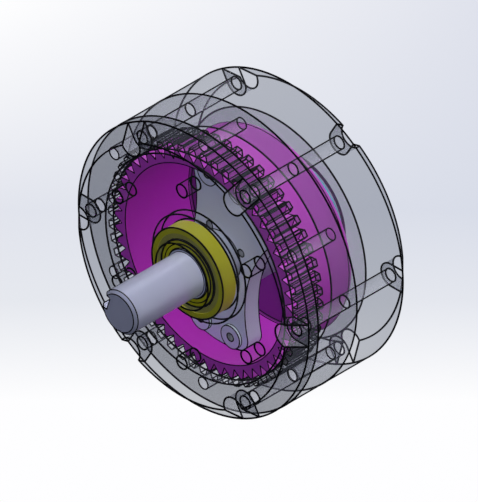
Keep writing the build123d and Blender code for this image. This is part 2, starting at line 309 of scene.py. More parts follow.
mouth_angle = asin(gap_mouth_half / cavity_r)
root_angle = asin(gap_root_half / (cavity_r + gap_depth))
gap_points = toothed_points(spline_gaps, [
    (cavity_r, -mouth_angle), (cavity_r + gap_depth, -root_angle), (cavity_r + gap_depth, root_angle),
    (cavity_r, mouth_angle), (cavity_r, pi / spline_gaps),
])
joint_gap = 0.04 * MM
ring_front, ring_back = cover_joint + joint_gap, ring_joint - joint_gap
spline = joined_rings("clear_circular_spline", [
    round_ring(gap_points, housing_r, ring_front), round_ring(gap_points, housing_r, ring_back),
    round_ring(gap_points, cavity_r, ring_back), round_ring(gap_points, cavity_r, cover_joint + tooth_length),
    toothed_ring(gap_points, cover_joint + tooth_length), toothed_ring(gap_points, ring_front),
])
through = (cover_joint - slack, ring_joint + slack)
cut(spline, prisms("bolts", bolt_holes, *through))
ring_holes = hole_outlines(ring_hole_r, bolt_circle_r, bolt_count, half_step)
cut(spline, prisms("ring_holes", ring_holes, *through))
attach(spline, "housing")
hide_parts("circular_spline")
print("circular spline gaps:", spline_gaps)

# %% Rear housing
output_opening_r = 23.5 * MM
rear_bearing_r = 29.0 * MM

rear = turned("clear_rear_housing", [
    (cavity_r, ring_joint), (housing_r, ring_joint), (housing_r, back_seat),
    (housing_r - rim_chamfer, back_face), (output_opening_r, back_face),
    (output_opening_r, rear_bearing_back), (rear_bearing_r, rear_bearing_back),
    (rear_bearing_r, cavity_floor), (cavity_r, cavity_floor),
])
cut(rear, prisms("seats", bolt_seat_outlines(), back_seat, back_face + slack))
cut(rear, prisms("bolts", bolt_holes, ring_joint - slack, back_seat + slack))
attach(rear, "housing")
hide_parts("rear_housing")
print("rear housing faces:", len(rear.data.polygons))

# %% [markdown]
# The flexspline
#
# The cup is thin and bends once for every half turn of the input. Its teeth are plain wedges with sharp
# valleys. It is made as one closed skin: the toothed outline at the mouth, circles through the same angles
# along the wall, a rounded corner, the floor, and back up the inside.

# %% Flexspline
flex_teeth = 50
flex_tip_r = 46.45 * MM
flex_valley_r = 42.7 * MM
flex_tip_half = 0.62 * MM
flex_bore_r = 41.0 * MM
flex_outer_r = 42.6 * MM
flex_floor = 1.8 * MM
outer_fillet = 2.6 * MM
inner_fillet = 0.8 * MM
fillet_steps = 6
flex_centre_r = 9.0 * MM

tip_angle = asin(flex_tip_half / flex_tip_r)
valley_angle = pi / flex_teeth
flank_angle = (tip_angle + valley_angle) / 2
flank_r = (flex_tip_r + flex_valley_r) / 2
tooth_points = toothed_points(flex_teeth, [
    (flex_tip_r, -tip_angle), (flex_tip_r, tip_angle), (flank_r, flank_angle), (flex_valley_r, valley_angle),
    (flank_r, 2 * valley_angle - flank_angle),
])
tooth_back = flex_mouth + tooth_length
floor_inside = flex_back - flex_floor
corner_centre = (flex_outer_r - outer_fillet, flex_back - outer_fillet)
inside_centre = (flex_bore_r - inner_fillet, floor_inside - inner_fillet)
corner = arc(corner_centre, outer_fillet, 0, pi / 2, fillet_steps)
inside_corner = arc(inside_centre, inner_fillet, pi / 2, 0, fillet_steps)
skin = [toothed_ring(tooth_points, flex_mouth), toothed_ring(tooth_points, tooth_back)]
skin += [round_ring(tooth_points, r, y) for r, y in [(flex_outer_r, tooth_back)] + corner]
skin += [round_ring(tooth_points, flex_centre_r, y) for y in (flex_back, floor_inside)]
skin += [round_ring(tooth_points, r, y) for r, y in inside_corner + [(flex_bore_r, flex_mouth)]]
cup = joined_rings("magenta_flexspline", skin)
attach(cup, "output")
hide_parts("flexspline")
print("flexspline teeth:", flex_teeth, "against", spline_gaps, "gaps")

# %% [markdown]
# The input side
#
# The shaft is one turned bar: a plain end with a keyway, a seat for the front bearing and the generator
# plate, and a hub behind the plate. It is solid, so its profile starts and ends on the axis.

# %% Input shaft
shaft_front, shaft_back = along("input_shaft")
seat_r = 10.0 * MM
hub_r = 15.5 * MM
hub_back = plate_back + 11.8 * MM
neck_r = 7.0 * MM
journal_r = 5.0 * MM
end_chamfer = 1.2 * MM
step_gap = 0.4 * MM
shaft_step = bearing_front - step_gap
groove_r = 9.5 * MM
groove_width = 1.1 * MM
key_width, key_depth, key_length = 6.0 * MM, 3.5 * MM, 18.0 * MM
key_angle = 163.0

shaft = turned("blue_grey_shaft", [
    (0, shaft_front), (shaft_r - end_chamfer, shaft_front), (shaft_r, shaft_front + end_chamfer),
    (shaft_r, shaft_step), (seat_r, shaft_step), (seat_r, bearing_back), (groove_r, bearing_back),
    (groove_r, bearing_back + groove_width), (seat_r, bearing_back + groove_width), (seat_r, plate_back),
    (hub_r, plate_back), (hub_r, hub_back), (neck_r, hub_back), (neck_r, flex_back), (journal_r, flex_back),
    (journal_r, shaft_back), (0, shaft_back),
], closed=False)
half_key = key_width / 2
keyway = [(-key_depth, -half_key), (key_depth, -half_key), (key_depth, half_key), (-key_depth, half_key)]
key_span = (shaft_front - slack, shaft_front + key_length)
cut(shaft, prisms("keyway", [placed(keyway, shaft_r, key_angle)], *key_span))
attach(shaft, "input")
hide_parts("input_shaft")
print("shaft sticks out", round((cover_front - shaft_front) / MM, 1), "mm")

# %% [markdown]
# The generator plate is a bow tie: two lobes on one circle about the axis, joined by a waist that two large
# arcs hollow out. Its outline is worked out from those circles: where lobe and waist meet, a small fillet
# rounds the corner. The fillet's centre lies one fillet radius inside the lobe's circle and one outside the
# waist's, so it is found by the cosine rule.

# %% Generator plate
plate_angle = 73.75
lobe_r = 39.4 * MM
waist_r = 54.4 * MM
waist_offset = 69.7 * MM
corner_r = 5.5 * MM
lobe_steps, corner_steps, waist_steps = 20, 10, 24
dowel_circle_r = 12.05 * MM
dowel_r = 1.6 * MM
dowel_count = 4
dowel_angle = 28.9
bore_chamfer = 0.4 * MM
pin_circle_r = 34.3 * MM
pin_spread = 26.5
pin_r = 3.0 * MM
pin_angles = [plate_angle + side + spread for side in (0, 180) for spread in (-pin_spread, 0, pin_spread)]


def bow_tie_quarter():
    """Outline from the middle of a lobe to the middle of a waist, with the lobe along +x."""
    near, far = lobe_r - corner_r, waist_r + corner_r
    lean = asin((near ** 2 + waist_offset ** 2 - far ** 2) / (2 * near * waist_offset))
    centre = (near * cos(lean), near * sin(lean))
    toward_waist = pi - asin((waist_offset - centre[1]) / far)
    lobe = arc((0, 0), lobe_r, 0, lean, lobe_steps)
    fillet = arc(centre, corner_r, lean, toward_waist, corner_steps)
    waist = arc((0, waist_offset), waist_r, toward_waist - pi, -pi / 2, waist_steps)
    return lobe + fillet[1:] + waist[1:]


quarter = bow_tie_quarter()
half = quarter + [(-x, z) for x, z in quarter[-2::-1]]
bow_tie = half + [(x, -z) for x, z in half[-2:0:-1]]

roller_front, roller_back = along("generator_roller_1")
roller_r = 6.5 * MM
side_play, pocket_gap = 0.05 * MM, 0.5 * MM

plate = prisms("blue_grey_generator_plate", [placed(bow_tie, 0, plate_angle)], plate_front, plate_back)
cut(plate, turned("bore", [
    (0, plate_front - slack), (seat_r + bore_chamfer + slack, plate_front - slack),
    (seat_r, plate_front + bore_chamfer), (seat_r, plate_back + slack), (0, plate_back + slack),
], closed=False))
through_plate = (plate_front - slack, plate_back + slack)
dowel_holes = hole_outlines(dowel_r, dowel_circle_r, dowel_count, dowel_angle)
pin_holes = [placed(round_outline(pin_r), pin_circle_r, a) for a in pin_angles]
pocket = round_outline(roller_r + pocket_gap, steps=60)
pockets = [placed(pocket, pin_circle_r, a) for a in pin_angles]
cut(plate, prisms("dowel_holes", dowel_holes, *through_plate))
cut(plate, prisms("pin_holes", pin_holes, *through_plate))
cut(plate, prisms("pockets", pockets, roller_front - side_play, roller_back + side_play))
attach(plate, "input")
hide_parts("generator_plate")
print("plate outline points:", len(bow_tie))

# %% [markdown]
# The same headed hollow pin is used six times, three on each lobe. That is work for Geometry Nodes: a small
# tree puts copies of its input on an arc about the gear axis, with the count, the radius and the angles as
# inputs. It runs twice here, once for the three pins of a lobe and once for the two lobes.

# %% Copies on an arc
def feed(tree, socket, value):
    """Links the value to the socket if it is one itself, and else sets it."""
    if isinstance(value, bpy.types.NodeSocket):
        tree.links.new(value, socket)
    else:
        socket.default_value = value


def add_node(tree, kind, **inputs):
    """A node with the named inputs set to values or linked to sockets."""
    node = tree.nodes.new(kind)
    for name, value in inputs.items():
        feed(tree, node.inputs[name.replace("_", " ")], value)
    return node


def maths(tree, operation, a, b):
    """Socket with the result of a sum on two values or sockets."""
    node = tree.nodes.new("ShaderNodeMath")
    node.operation = operation
    feed(tree, node.inputs[0], a)
    feed(tree, node.inputs[1], b)
    return node.outputs[0]


def new_tree(name, inputs):
    """Geometry tree with a mesh coming in and going out, and number inputs of these names."""
    tree = bpy.data.node_groups.new(name, "GeometryNodeTree")
    tree.interface.new_socket("Geometry", in_out="INPUT", socket_type="NodeSocketGeometry")
    for title, kind in inputs.items():
        tree.interface.new_socket(title, in_out="INPUT", socket_type=kind)
    tree.interface.new_socket("Geometry", in_out="OUTPUT", socket_type="NodeSocketGeometry")
    return tree, tree.nodes.new("NodeGroupInput").outputs, tree.nodes.new("NodeGroupOutput").inputs


def apply_tree(obj, tree, **values):
    """Runs a geometry tree on the object with its named inputs set, and keeps the result as a plain mesh."""
    step = obj.modifiers.new(tree.name, "NODES")
    step.node_group = tree
    for item in tree.interface.items_tree:
        if item.in_out == "INPUT" and item.name in values:
            step[item.identifier] = values[item.name]
    return plain_mesh(obj)


def arc_copies_tree():
    """Tree that puts copies of its input about the Y axis."""
    tree, given, result = new_tree("copies_on_an_arc", {
        "Count": "NodeSocketInt", "Radius": "NodeSocketFloat", "First": "NodeSocketFloat",
        "Step": "NodeSocketFloat", "Finish": "NodeSocketMaterial",
    })
    index = tree.nodes.new("GeometryNodeInputIndex").outputs[0]
    angle = maths(tree, "ADD", maths(tree, "MULTIPLY", index, given["Step"]), given["First"])
    across = maths(tree, "MULTIPLY", given["Radius"], maths(tree, "COSINE", angle, 0.0))
    upward = maths(tree, "MULTIPLY", given["Radius"], maths(tree, "SINE", angle, 0.0))
    place = add_node(tree, "ShaderNodeCombineXYZ", X=across, Z=upward)
    turn = add_node(tree, "ShaderNodeCombineXYZ", Y=maths(tree, "MULTIPLY", angle, -1.0))
    points = add_node(tree, "GeometryNodePoints", Count=given["Count"], Position=place.outputs[0])
    copies = add_node(
        tree, "GeometryNodeInstanceOnPoints", Points=points.outputs[0], Instance=given["Geometry"],
        Rotation=turn.outputs[0],
    )
    real = add_node(tree, "GeometryNodeRealizeInstances", Geometry=copies.outputs[0])
    dressed = add_node(tree, "GeometryNodeSetMaterial", Geometry=real.outputs[0], Material=given["Finish"])
    tree.links.new(dressed.outputs[0], result["Geometry"])
    return tree


arc_copies = arc_copies_tree()
print("inputs of the tree:", [item.name for item in arc_copies.interface.items_tree])

# %% [markdown]
# Finishes come next, because the trees hand each piece its material. The gear's metal is fine turned or
# ground steel with a blue-grey tint. It is nearly matt, so most of its colour is plain base colour, with
# faint rings from the tool about the gear axis and a slow drift in tone that keeps large faces from looking
# like flat paint. Plate sides, the shaft behind the front bearing and deep holes get darker steel as painted
# shade.

# %% Finish helpers
def new_finish(name, roughness, metallic=0.0):
    """A material and its tree, Principled shader and Object coordinates."""
    finish = bpy.data.materials.new(name)
    finish.use_nodes = True
    tree = finish.node_tree
    shader = tree.nodes["Principled BSDF"]
    shader.inputs["Roughness"].default_value = roughness
    shader.inputs["Metallic"].default_value = metallic
    return finish, tree, shader, tree.nodes.new("ShaderNodeTexCoord").outputs["Object"]


def blend_colours(tree, factor, dark, light):
    """Socket with a colour that runs from dark to light as the factor grows."""
    ramp = tree.nodes.new("ShaderNodeValToRGB")
    ramp.color_ramp.elements[0].color = (*dark, 1)
    ramp.color_ramp.elements[1].color = (*light, 1)
    tree.links.new(factor, ramp.inputs["Fac"])
    return ramp.outputs["Color"]


def scaled(colour, factor):
    return tuple(min(1.0, channel * factor) for channel in colour)


def drifting_colour(tree, shader, coordinates, colour, spread, size):
    """Base colour that drifts by a few percent over patches of about this size in metres."""
    drift = add_node(tree, "ShaderNodeTexNoise", Vector=coordinates, Scale=1 / size, Detail=3.0).outputs[0]
    tone = blend_colours(tree, drift, scaled(colour, 1 - spread), scaled(colour, 1 + spread))
    tree.links.new(tone, shader.inputs["Base Color"])
    return drift


def uneven_gloss(tree, shader, factor, low, high):
    """Roughness that runs between two values as the factor grows."""
    gloss = add_node(tree, "ShaderNodeMapRange", Value=factor, To_Min=low, To_Max=high)
    tree.links.new(gloss.outputs["Result"], shader.inputs["Roughness"])


def bumps(tree, shader, height, strength, distance):
    bump = add_node(tree, "ShaderNodeBump", Height=height, Strength=strength, Distance=distance)
    tree.links.new(bump.outputs[0], shader.inputs["Normal"])


# The distance between two rings of a wave texture at scale 1
WAVE_LENGTH = pi / 10


def turned_steel(name, colour, roughness=0.42, metallic=0.25, line=0.4 * MM):
    """Steel with faint tool rings about the gear axis, this far apart."""
    finish, tree, shader, coordinates = new_finish(name, roughness, metallic)
    drift = drifting_colour(tree, shader, coordinates, colour, 0.05, 12 * MM)
    uneven_gloss(tree, shader, drift, roughness - 0.06, roughness + 0.08)
    rings = add_node(tree, "ShaderNodeTexWave", Vector=coordinates, Scale=WAVE_LENGTH / line, Distortion=1.5)
    rings.wave_type, rings.rings_direction = "RINGS", "Y"
    bumps(tree, shader, rings.outputs["Fac"], strength=0.12, distance=0.01 * MM)
    return finish


shaft_finish = turned_steel("blue_grey_turned_steel", (0.50, 0.53, 0.71), 0.34)
plate_finish = turned_steel("blue_grey_ground_steel", (0.70, 0.74, 1.0), 0.55, 0.0, line=0.6 * MM)
roller_finish = turned_steel("hardened_roller_steel", (0.50, 0.53, 0.66), 0.35, 0.35)
hub_finish = turned_steel("blue_grey_hub_steel", (0.48, 0.51, 0.66))
ball_finish = turned_steel("polished_ball_steel", (0.62, 0.64, 0.68), 0.2, 0.8)
screw_finish = turned_steel("black_oxide_steel", (0.035, 0.036, 0.04), 0.5, 0.3)
clip_finish = turned_steel("phosphated_spring_steel", (0.10, 0.10, 0.11), 0.55, 0.2)
brass_finish = turned_steel("pressed_brass", (0.62, 0.46, 0.20), 0.4, 0.6)
# Painted shade: darker steel for the sides of the plate and pins.
plate_side_painted_shade_finish = turned_steel("blue_grey_painted_shade_sides", (0.44, 0.55, 0.58), 0.55, 0.0)
# Painted shade: darker steel for the shaft's sides behind the front bearing, inside the housing.
shaft_painted_shade_finish = turned_steel("blue_grey_painted_shade_shaft", (0.27, 0.30, 0.39), 0.45)
# Painted shade: near-black steel for the walls of the dowel and pin holes.
hole_painted_shade_finish = turned_steel("painted_shade_hole_steel", (0.12, 0.13, 0.16), 0.5)
print("steel finishes:", shaft_finish.name, plate_finish.name, roller_finish.name)

# %% [markdown]
# The cup is satin magenta, the front bearing olive and the rear bearing teal. Each is a thin even coat, so it
# gets a fine orange-peel bump in place of tool rings, and a gloss that varies a little. The cup's inside has
# painted shade: a darker magenta than its outside, and its floor darker still. The seals are matt olive
# rubber.

# %% Coated finishes
def satin_coat(name, colour, roughness=0.45, grain=0.8 * MM, spread=0.04, coat=0.1, specular=0.5):
    """Even coat with a fine orange-peel bump."""
    finish, tree, shader, coordinates = new_finish(name, roughness)
    drift = drifting_colour(tree, shader, coordinates, colour, spread, 15 * MM)
    uneven_gloss(tree, shader, drift, roughness - 0.05, roughness + 0.08)
    peel = add_node(tree, "ShaderNodeTexNoise", Vector=coordinates, Scale=1 / grain, Detail=2.0).outputs[0]
    bumps(tree, shader, peel, strength=0.1, distance=0.02 * MM)
    shader.inputs["Coat Weight"].default_value = coat
    shader.inputs["Coat Roughness"].default_value = 0.25
    shader.inputs["Specular IOR Level"].default_value = specular
    return finish


magenta_finish = satin_coat("satin_magenta_coat", (0.57, 0.046, 0.63))
# Darker copies of the magenta for the cup's inside wall and its floor: painted shade, deeper on the floor.
magenta_painted_shade_finish = satin_coat("magenta_painted_shade_inside", (0.43, 0.012, 0.45), 0.6, coat=0.0, specular=0.2)
magenta_painted_deep_shade_finish = satin_coat("magenta_painted_shade_floor", (0.17, 0.012, 0.19), 0.6, coat=0.0, specular=0.2)
olive_finish = satin_coat("satin_olive_coat", (0.43, 0.43, 0.006), coat=0.05, specular=0.25)
olive_seal_finish = satin_coat("matt_olive_rubber", (0.28, 0.28, 0.05), 0.7, 0.5 * MM, coat=0.0)
teal_finish = satin_coat("satin_teal_coat", (0.02, 0.88, 0.92), specular=0.25)
line_finish = satin_coat("dark_edge_lacquer", (0.004, 0.004, 0.005), 0.9, spread=0.3, coat=0.0, specular=0.05)
print("coats:", magenta_finish.name, olive_finish.name, teal_finish.name)

# %% [markdown]
# The housing is clear plastic with a smoky blue-grey tint. Real refraction would bend the gears out of shape
# and hide them, and the reference shows them straight, so each face is a thin film. Part of the film is a
# satin grey skin, on the side that looks at you only. The rest lets light straight through and tints it: a
# little on the way in, and more on the way out through a polished outer skin, which is how a thick wall looks
# smoky however many faces a line of sight crosses. Each kind of face has its own film: polished outside,
# bored holes, milled teeth, and the flat faces at the joints.

# %% Clear plastic
def clear_plastic(name, colour, face_on, edge_on, way_in=(1, 1, 1), way_out=(1, 1, 1)):
    """Film of plastic, this solid face on and edge on, with a tint for light on the way in and one out."""
    finish, tree, shader, coordinates = new_finish(name, 0.3)
    drift = drifting_colour(tree, shader, coordinates, colour, 0.04, 25 * MM)
    uneven_gloss(tree, shader, drift, 0.26, 0.4)
    facing = add_node(tree, "ShaderNodeLayerWeight", Blend=0.25).outputs["Facing"]
    steep = maths(tree, "POWER", facing, 3.0)
    solid = add_node(tree, "ShaderNodeMapRange", Value=steep, To_Min=face_on, To_Max=edge_on)
    behind = tree.nodes.new("ShaderNodeNewGeometry").outputs["Backfacing"]
    share = maths(tree, "MULTIPLY", solid.outputs["Result"], maths(tree, "SUBTRACT", 1.0, behind))
    tint = blend_colours(tree, behind, way_in, way_out)
    clear = add_node(tree, "ShaderNodeBsdfTransparent", Color=tint)
    film = add_node(tree, "ShaderNodeMixShader", Fac=share)
    tree.links.new(clear.outputs[0], film.inputs[1])
    tree.links.new(shader.outputs[0], film.inputs[2])
    tree.links.new(film.outputs[0], tree.nodes["Material Output"].inputs["Surface"])
    return finish


grey, pale_grey = (0.55, 0.57, 0.67), (0.68, 0.70, 0.82)
untinted, faint_tint, smoke = (1, 1, 1), (0.93, 0.93, 0.94), (0.555, 0.57, 0.60)
clear_looks = {
    "polished": (grey, 0.03, 0.3, untinted, smoke),
    "front": (grey, 0.02, 0.12, (0.96, 0.96, 0.965), smoke),
    "thin": (grey, 0.02, 0.12),
    "bored": ((0.60, 0.62, 0.73), 0.24, 0.42, (0.88, 0.88, 0.89)),
    "seat": (pale_grey, 0.22, 0.35, faint_tint, (0.7, 0.71, 0.73)),
    "milled": (grey, 0.06, 0.15, faint_tint),
    "jointed": (grey, 0.14, 0.2, (0.61, 0.615, 0.63)),
    "faced": (grey, 0.2, 0.28, (0.82, 0.825, 0.84)),
}
clear_finishes = [clear_plastic(f"clear_{look}_plastic", *values) for look, values in clear_looks.items()]
print("clear finishes:", [finish.name for finish in clear_finishes])

# %% Pins on both lobes
head_r, head_depth, pin_bore_r = 4.8 * MM, 1.2 * MM, 1.73 * MM
lobe_start, lobe_step = radians(plate_angle - pin_spread), radians(pin_spread)

pins = turned("blue_grey_headed_pins", [
    (head_r, plate_front - head_depth), (head_r, plate_front), (pin_r, plate_front), (pin_r, plate_back),
    (pin_bore_r, plate_back), (pin_bore_r, plate_front - head_depth),
], steps=48)
apply_tree(
    pins, arc_copies, Count=3, Radius=pin_circle_r, First=lobe_start, Step=lobe_step, Finish=plate_finish,
)
apply_tree(pins, arc_copies, Count=2, Radius=0.0, First=0.0, Step=pi, Finish=plate_finish)
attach(pins, "input")
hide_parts("roller_pins")
print("pins:", len(pin_angles), "faces:", len(pins.data.polygons))

# %% [markdown]
# Each roller turns on its own pin, so each is an object of its own that rides on its own body. A roller is
# turned on the gear axis with broken rims, and then its mesh, not its object, is moved out to its pin.

# %% Rollers
roller_bore_r = 3.05 * MM
roller_rim = 0.4 * MM
rollers = []
for number, angle in enumerate(pin_angles, 1):
    roller = turned(f"roller_ring_{number}", [
        (roller_bore_r, roller_front), (roller_r - roller_rim, roller_front),
        (roller_r, roller_front + roller_rim), (roller_r, roller_back - roller_rim),
        (roller_r - roller_rim, roller_back), (roller_bore_r, roller_back),
    ], steps=64)
    x, z = polar(pin_circle_r, angle)
    roller.data.transform(Matrix.Translation((x, 0, z)))
    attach(roller, f"roller_{number}")
    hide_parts(f"generator_roller_{number}")
    rollers.append(roller)
print("rollers:", len(rollers))

# %% [markdown]
# Bearings and hub
#
# A bearing ring has broken corners at its seat and a round groove for the balls at its land. One profile
# makes all of them: for an outer ring the groove bulges outwards, and for an inner ring it bulges inwards.
# The pair of thin seals closes the gap between the lands on both faces.

# %% Bearing rings
groove_play = 0.08 * MM
GROOVE_STEPS = 6


def ring_profile(seat_r, land_r, start, end, ball_circle_r, ball_r, chamfer=0.3 * MM):
    """Closed (radius, y) section of a bearing ring."""
    out = 1 if seat_r > land_r else -1
    groove_r = ball_r + groove_play
    lean = acos(abs(land_r - ball_circle_r) / groove_r)
    middle = (start + end) / 2
    angles = [lean * i / GROOVE_STEPS for i in range(-GROOVE_STEPS, GROOVE_STEPS + 1)]
    groove = [(ball_circle_r + out * groove_r * cos(a), middle - groove_r * sin(a)) for a in angles]
    return [
        (seat_r - out * chamfer, start), (seat_r, start + chamfer), (seat_r, end - chamfer),
        (seat_r - out * chamfer, end), (land_r, end), *groove, (land_r, start),
    ]


def bearing_piece(name, profile, body, node):
    ring = turned(name, profile)
    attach(ring, body)
    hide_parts(node)
    return ring


def joined(obj, *others):
    """Adds the meshes of the others to the first object and removes the others."""
    bm = bmesh.new()
    for piece in (obj, *others):
        bm.from_mesh(piece.data)
    bm.to_mesh(obj.data)
    bm.free()
    for piece in others:
        bpy.data.objects.remove(piece)
    return obj


def seal_pair(name, outer_r, inner_r, start, end, node):
    """Two thin washers set into the faces of an outer ring."""
    inset, thickness, gap = 0.4 * MM, 0.5 * MM, 0.3 * MM
    washers = []
    for low in (start + inset, end - inset - thickness):
        high = low + thickness
        section = [(outer_r, low), (outer_r, high), (inner_r + gap, high), (inner_r + gap, low)]
        washers.append(turned(name, section))
    pair = joined(*washers)
    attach(pair, "housing")
    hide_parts(node)
    return pair


ball_r, land_drop = 1.8 * MM, 1.15 * MM
front_ball_circle_r = 15.05 * MM
front_outer_land, front_inner_land = front_ball_circle_r + land_drop, front_ball_circle_r - land_drop
face_step_r, face_step = 11.9 * MM, 0.4 * MM
front = (bearing_front + joint_gap, bearing_back, front_ball_circle_r, ball_r)
inner_profile = ring_profile(seat_r, front_inner_land, *front)[:-1]
inner_profile += [
    (front_inner_land, bearing_front + face_step), (face_step_r, bearing_front + face_step),
    (face_step_r, bearing_front),
]
olive_outer = bearing_piece(
    "olive_outer_ring", ring_profile(bearing_r - joint_gap, front_outer_land, *front), "housing",
    "front_bearing_outer_ring",
)
olive_inner = bearing_piece(
    "olive_inner_ring", inner_profile, "input", "front_bearing_inner_ring"
)
olive_seals = seal_pair(
    "olive_seals", front_outer_land, front_inner_land, bearing_front, bearing_back,
    "front_bearing_shields",
)

rear_ball_circle_r, rear_bore_r = 25.75 * MM, 22.5 * MM
rear_outer_land, rear_inner_land = rear_ball_circle_r + land_drop, rear_ball_circle_r - land_drop
small_chamfer = 0.05 * MM
behind = (cavity_floor, rear_bearing_back - joint_gap, rear_ball_circle_r, ball_r)
outer_profile = ring_profile(rear_bearing_r - joint_gap, rear_outer_land, *behind, chamfer=small_chamfer)
teal_outer = bearing_piece(
    "teal_outer_ring", outer_profile, "housing", "rear_bearing_outer_ring"
)
teal_inner = bearing_piece(
    "teal_inner_ring", ring_profile(rear_bore_r, rear_inner_land, *behind), "output",
    "rear_bearing_inner_ring",
)
teal_seals = seal_pair(
    "teal_seals", rear_outer_land, rear_inner_land, cavity_floor, rear_bearing_back,
    "rear_bearing_shields",
)
print("bearing rings:", olive_outer.name, olive_inner.name, teal_outer.name, teal_inner.name)

# %% [markdown]
# The output hub closes the gear at the back. It is turned, with a recess that centres the driven part, six
# tapped holes on its face, and holes for the screws that clamp the cup from inside.

# %% Output hub
output_face = mounts["output_screws"]["pos_m"][1]
output_screws = mounts["output_screws"]["dims"]
recess = mounts["output_recess"]["dims"]
recess_r, recess_depth = recess["r_mm"] * MM, recess["length_mm"] * MM
pilot_back = along("pilot_bearing_outer_ring")[1]
pilot_r, hub_flange_r, hub_chamfer = 11.0 * MM, 24.4 * MM, 1.0 * MM
tapped_depth = 8.0 * MM
clamp_screw_circle_r, clamp_screw_r, clamp_screw_count = 13.9 * MM, 1.5 * MM, 6
clamp_screw_end = 46.6 * MM

hub = turned("blue_grey_output_hub", [
    (0, pilot_back), (pilot_r, pilot_back), (pilot_r, flex_back), (hub_flange_r, flex_back),
    (hub_flange_r, cavity_floor), (rear_bore_r, cavity_floor), (rear_bore_r, output_face - hub_chamfer),
    (rear_bore_r - hub_chamfer, output_face), (recess_r, output_face), (recess_r, output_face - recess_depth),
    (0, output_face - recess_depth),
], closed=False)
tapped = hole_outlines(
    output_screws["hole_r_mm"] * MM, output_screws["pcd_mm"] / 2 * MM, output_screws["count"],
    180 / output_screws["count"],
)
cut(hub, prisms("tapped", tapped, output_face - tapped_depth, output_face + slack))
screw_holes = hole_outlines(clamp_screw_r, clamp_screw_circle_r, clamp_screw_count)
cut(hub, prisms("screw_holes", screw_holes, flex_back - slack, clamp_screw_end))
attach(hub, "output")
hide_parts("output_hub")
print("hub stands proud by", round((output_face - back_face) / MM, 1), "mm")

# %% [markdown]
# Putting the finishes on
#
# A piece gets its main material first, and then darker ones that paint shade on the faces that pass a small
# test: the inside of the cup, the edges of the plate, the walls of its holes. The CAD nodes that stay, such
# as balls, cages and small hardware, have material slots already, so theirs are swapped. Faces are shaded
# smooth, and every edge sharper than a set angle is marked sharp, so a turned surface looks round while its
# corners stay crisp.

# %% Dress the pieces
SHARP = radians(28)
NEAR = 0.01 * MM


def dress(finishes, *objects):
    """Gives objects these materials, with smooth faces and sharp corners."""
    for obj in objects:
        obj.data.materials.clear()
        for finish in finishes:
            obj.data.materials.append(finish)
        obj.data.shade_smooth()
        obj.data.set_sharp_from_angle(angle=SHARP)


def clear_look(face):
    """Which clear finish a face of the housing has, from where it is and which way it looks."""
    out = Vector((face.center.x, 0, face.center.z))
    y = face.center.y
    if y < cover_front + NEAR:
        return "front"
    if y < cover_joint + joint_gap / 2 and out.length < cavity_r - joint_gap:
        return "thin"
    outer_skin = out.length > housing_r - rim_chamfer and face.normal.dot(out.normalized()) > 0.5
    if y > back_face - NEAR or outer_skin:
        return "polished"
    if (y < NEAR or y > back_seat - NEAR) and out.length > cavity_r:
        return "seat"
    if abs(face.normal.y) > 0.9:
        return "jointed" if abs(y - ring_front) < NEAR else "faced"
    return "milled" if out.length < cavity_r + gap_depth else "bored"


def paint_shade_on_faces(obj, finish, belongs):
    """Gives another material, here always a darker one that paints shade, to the faces for which
    belongs(face, direction out of the axis) is true.
    """
    obj.data.materials.append(finish)
    index = len(obj.data.materials) - 1
    for face in obj.data.polygons:
        if belongs(face, Vector((face.center.x, 0, face.center.z))):
            face.material_index = index


def inside_wall(face, out):
    return face.normal.dot(out.normalized()) < -0.5


def on_cup_floor(face, out):
    return face.normal.y < -0.5 and face.center.y > inside_corner[-1][1]


def on_side(face, out):
    return abs(face.normal.y) < 0.5


def behind_bearing(face, out):
    return face.center.y > bearing_back and on_side(face, out)


def in_holes(radius, *centres):
    """Test for faces on the walls of small holes about these (x, z) centres."""
    def belongs(face, out):
        near = any((out - Vector((x, 0, z))).length < radius + NEAR for x, z in centres)
        return near and abs(face.normal.y) < 0.1
    return belongs


def dress_nodes(finish, *names):
    """Swaps the material of CAD nodes."""
    for name in names:
        for slot in frame["nodes"][name].material_slots:
            slot.material = finish


dress(clear_finishes, cover, spline, rear)
for piece in (cover, spline, rear):
    for face in piece.data.polygons:
        face.material_index = list(clear_looks).index(clear_look(face))
dress([magenta_finish], cup)
# The cup's inside wall and floor take the darker magenta, which is painted shade.
paint_shade_on_faces(cup, magenta_painted_shade_finish, inside_wall)
paint_shade_on_faces(cup, magenta_painted_deep_shade_finish, on_cup_floor)
dress([shaft_finish], shaft)
dress([plate_finish], plate, pins)
# Painted shade on the shaft's sides behind the front bearing.
paint_shade_on_faces(shaft, shaft_painted_shade_finish, behind_bearing)
# Painted shade on the sides of the plate and pins.
paint_shade_on_faces(plate, plate_side_painted_shade_finish, on_side)
paint_shade_on_faces(pins, plate_side_painted_shade_finish, on_side)
dowel_centres = [polar(dowel_circle_r, dowel_angle + 360 / dowel_count * i) for i in range(dowel_count)]
pin_centres = [polar(pin_circle_r, angle) for angle in pin_angles]
